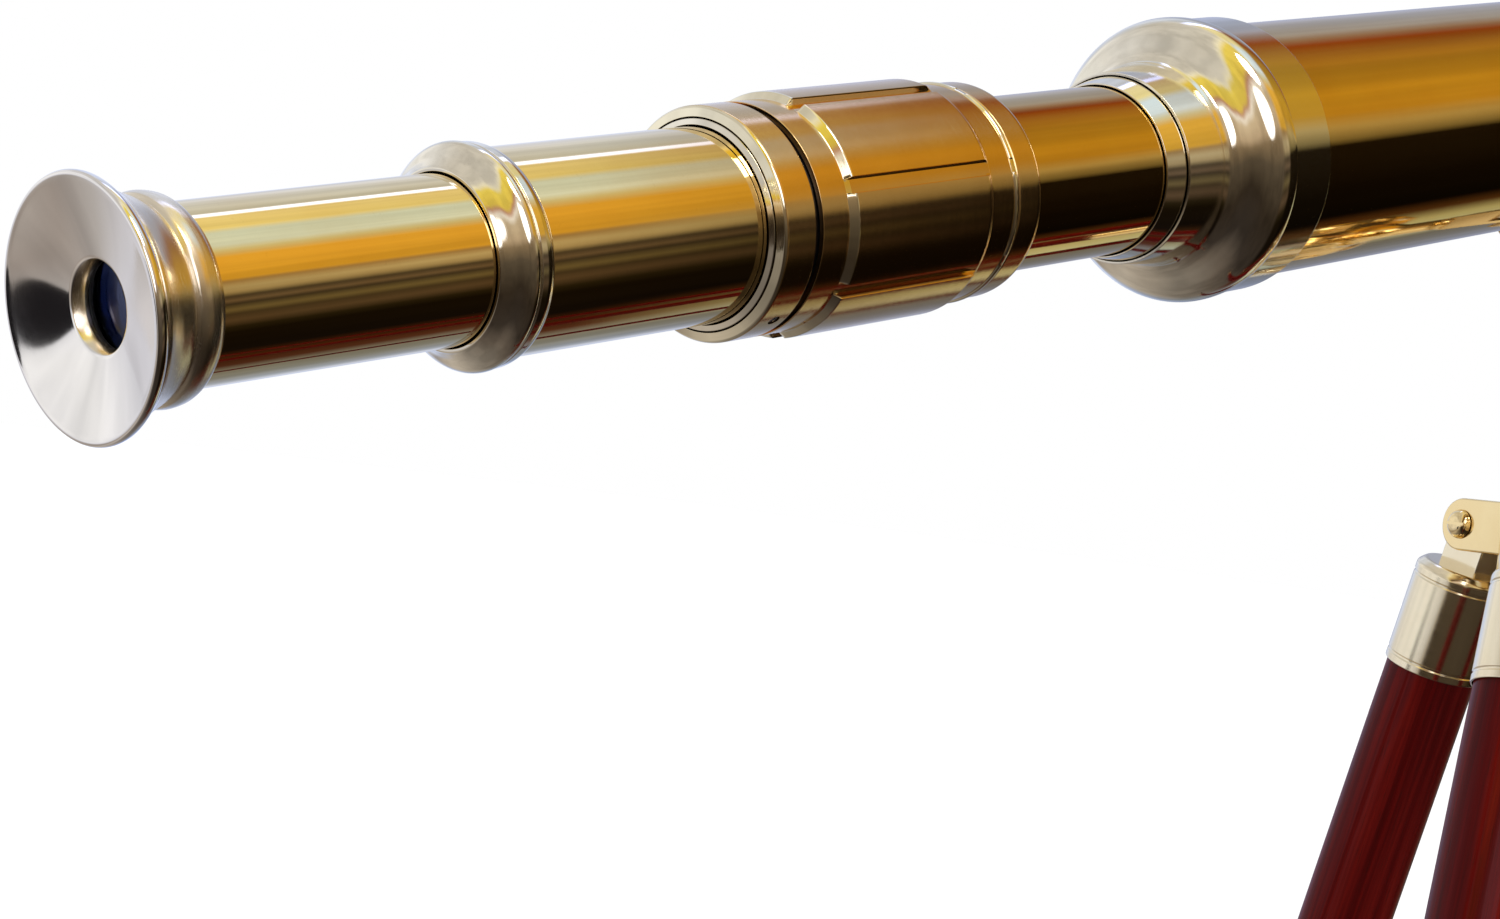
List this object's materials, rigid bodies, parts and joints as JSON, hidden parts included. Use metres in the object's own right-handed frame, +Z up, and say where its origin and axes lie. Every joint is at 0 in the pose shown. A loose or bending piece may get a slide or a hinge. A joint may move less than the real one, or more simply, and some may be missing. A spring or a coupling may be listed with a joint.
{
  "type": "tripod telescope",
  "caption": "Polished brass draw-tube telescope with a dished eyepiece and a fluted helical focusing ring, tilting on a folding, extending mahogany tripod.",
  "frame": {"origin": "the middle of the whole object's box in X and Y, on the floor the feet stand on", "axes": "+Z up; +X is the level direction in which the telescope points, its front end raised 14.2 degrees; +Y is to the left of someone at the eyepiece"},
  "size_m": [0.8859, 0.6134, 1.3333],
  "materials": {
    "polished_brass": "mirror-polished and lacquered",
    "pale_brass": "polished, paler",
    "satin_brass": "satin, with fine turned lines",
    "black_lacquer": "matt black inside the tubes",
    "glass": "polished optical glass",
    "mahogany": "dark red, gloss varnish",
    "blackened_steel": "blackened"
  },
  "bodies": {
    "tripod_head": {"tripod_head": "polished_brass", "leg_pin_1": "polished_brass", "leg_pin_2": "polished_brass", "leg_pin_3": "polished_brass"},
    "leg_1": {"leg_cap_1": "polished_brass", "upper_leg_1": "mahogany", "leg_clamp_1": "polished_brass"},
    "lower_leg_1": {"lower_leg_1": "mahogany", "foot_1": "polished_brass"},
    "leg_screw_1": {"leg_screw_1": "polished_brass"},
    "leg_2": {"leg_cap_2": "polished_brass", "upper_leg_2": "mahogany", "leg_clamp_2": "polished_brass"},
    "lower_leg_2": {"lower_leg_2": "mahogany", "foot_2": "polished_brass"},
    "leg_screw_2": {"leg_screw_2": "polished_brass"},
    "leg_3": {"leg_cap_3": "polished_brass", "upper_leg_3": "mahogany", "leg_clamp_3": "polished_brass"},
    "lower_leg_3": {"lower_leg_3": "mahogany", "foot_3": "polished_brass"},
    "leg_screw_3": {"leg_screw_3": "polished_brass"},
    "pan_lock": {"pan_lock_screw": "polished_brass"},
    "pan_head": {"pan_post": "polished_brass", "tilt_bolt": "polished_brass"},
    "tilt_knob": {"tilt_knob": "polished_brass"},
    "telescope": {"main_barrel": "polished_brass", "barrel_end_collar": "pale_brass", "barrel_bush": "pale_brass", "objective_cell": "polished_brass", "crown_lens": "glass", "flint_lens": "glass", "lens_retaining_ring": "black_lacquer", "saddle": "polished_brass", "barrel_band": "polished_brass", "band_screw_left": "polished_brass", "band_screw_right": "polished_brass"},
    "sunshade": {"sunshade": "polished_brass", "sunshade_slide_ring": "polished_brass", "sunshade_front_ring": "polished_brass"},
    "draw_3": {"draw_tube_3": "polished_brass", "focus_end_ring": "satin_brass", "tube_3_stop_ring": "polished_brass"},
    "focus_ring": {"fluted_focus_ring": "satin_brass"},
    "focus_carriage": {"focus_collar": "satin_brass", "focus_collar_bush": "pale_brass", "focus_thread_sleeve": "blackened_steel", "focus_set_screw": "blackened_steel"},
    "draw_2": {"draw_tube_2": "polished_brass", "tube_2_end_ring": "pale_brass", "tube_2_stop_ring": "polished_brass"},
    "draw_1": {"draw_tube_1": "polished_brass", "eyepiece_cup": "pale_brass", "eyepiece_cell": "black_lacquer", "eye_lens": "glass", "field_lens": "glass", "erector_tube": "black_lacquer", "erector_lens_rear": "glass", "erector_lens_front": "glass", "tube_1_stop_ring": "polished_brass"}
  },
  "joints": [
    {"name": "pan", "type": "hinge", "parent": "tripod_head", "child": "pan_head", "pos_m": [0.06594, -0.04525, 1.088], "axis": [0, 0, 1], "continuous": true},
    {"name": "pan_lock_turn", "type": "hinge", "parent": "tripod_head", "child": "pan_lock", "pos_m": [0.09496, -0.03764, 1.073], "axis": [0.9673, 0.2538, 0], "range_deg": [-180, 0]},
    {"name": "tilt", "type": "hinge", "parent": "pan_head", "child": "telescope", "pos_m": [0.06594, -0.04525, 1.14365], "axis": [0, -1, 0], "range_deg": [-28, 30]},
    {"name": "tilt_knob_turn", "type": "hinge", "parent": "pan_head", "child": "tilt_knob", "pos_m": [0.06594, -0.02825, 1.14365], "axis": [0, 1, 0], "range_deg": [-180, 0]},
    {"name": "sunshade_slide", "type": "slide", "parent": "telescope", "child": "sunshade", "axis": [0.9694, 0, 0.2453], "range_m": [-0.05, 0]},
    {"name": "draw_3_slide", "type": "slide", "parent": "telescope", "child": "draw_3", "axis": [0.9694, 0, 0.2453], "range_m": [0, 0.045]},
    {"name": "focus_turn", "type": "hinge", "parent": "draw_3", "child": "focus_ring", "pos_m": [-0.26503, -0.04525, 1.12385], "axis": [0.9694, 0, 0.2453], "range_deg": [-270, 75]},
    {"name": "focus_travel", "type": "slide", "parent": "draw_3", "child": "focus_carriage", "axis": [0.9694, 0, 0.2453], "range_m": [-0.0061, 0.0017]},
    {"name": "draw_2_slide", "type": "slide", "parent": "focus_carriage", "child": "draw_2", "axis": [0.9694, 0, 0.2453], "range_m": [0, 0.052]},
    {"name": "draw_1_slide", "type": "slide", "parent": "draw_2", "child": "draw_1", "axis": [0.9694, 0, 0.2453], "range_m": [0, 0.055]},
    {"name": "leg_fold_1", "type": "hinge", "parent": "tripod_head", "child": "leg_1", "pos_m": [0.07779, -0.00194, 1.08], "axis": [-0.9646, 0.2639, 0], "range_deg": [0, 16]},
    {"name": "leg_extend_1", "type": "slide", "parent": "leg_1", "child": "lower_leg_1", "axis": [0.0736, 0.2691, -0.9603], "range_m": [-0.38, 0.04]},
    {"name": "leg_screw_turn_1", "type": "hinge", "parent": "leg_1", "child": "leg_screw_1", "pos_m": [0.13056, 0.19096, 0.46331], "axis": [0.2534, 0.9263, 0.279], "range_deg": [-180, 0]},
    {"name": "leg_fold_2", "type": "hinge", "parent": "tripod_head", "child": "leg_2", "pos_m": [0.02251, -0.05664, 1.08], "axis": [0.2538, -0.9673, 0], "range_deg": [0, 16]},
    {"name": "leg_extend_2", "type": "slide", "parent": "leg_2", "child": "lower_leg_2", "axis": [-0.2699, -0.0708, -0.9603], "range_m": [-0.38, 0.04]},
    {"name": "leg_screw_turn_2", "type": "hinge", "parent": "leg_2", "child": "leg_screw_2", "pos_m": [-0.17093, -0.10739, 0.46331], "axis": [-0.9289, -0.2437, 0.279], "range_deg": [-180, 0]},
    {"name": "leg_fold_3", "type": "hinge", "parent": "tripod_head", "child": "leg_3", "pos_m": [0.09753, -0.07716, 1.08], "axis": [0.7108, 0.7034, 0], "range_deg": [0, 16]},
    {"name": "leg_extend_3", "type": "slide", "parent": "leg_3", "child": "lower_leg_3", "axis": [0.1962, -0.1983, -0.9603], "range_m": [-0.38, 0.04]},
    {"name": "leg_screw_turn_3", "type": "hinge", "parent": "leg_3", "child": "leg_screw_3", "pos_m": [0.2382, -0.21932, 0.46331], "axis": [0.6755, -0.6826, 0.279], "range_deg": [-180, 0]}
  ],
  "couplings": [
    {"joint": "focus_travel", "follows": "focus_turn", "m_per_rad": 0.0012732}
  ]
}
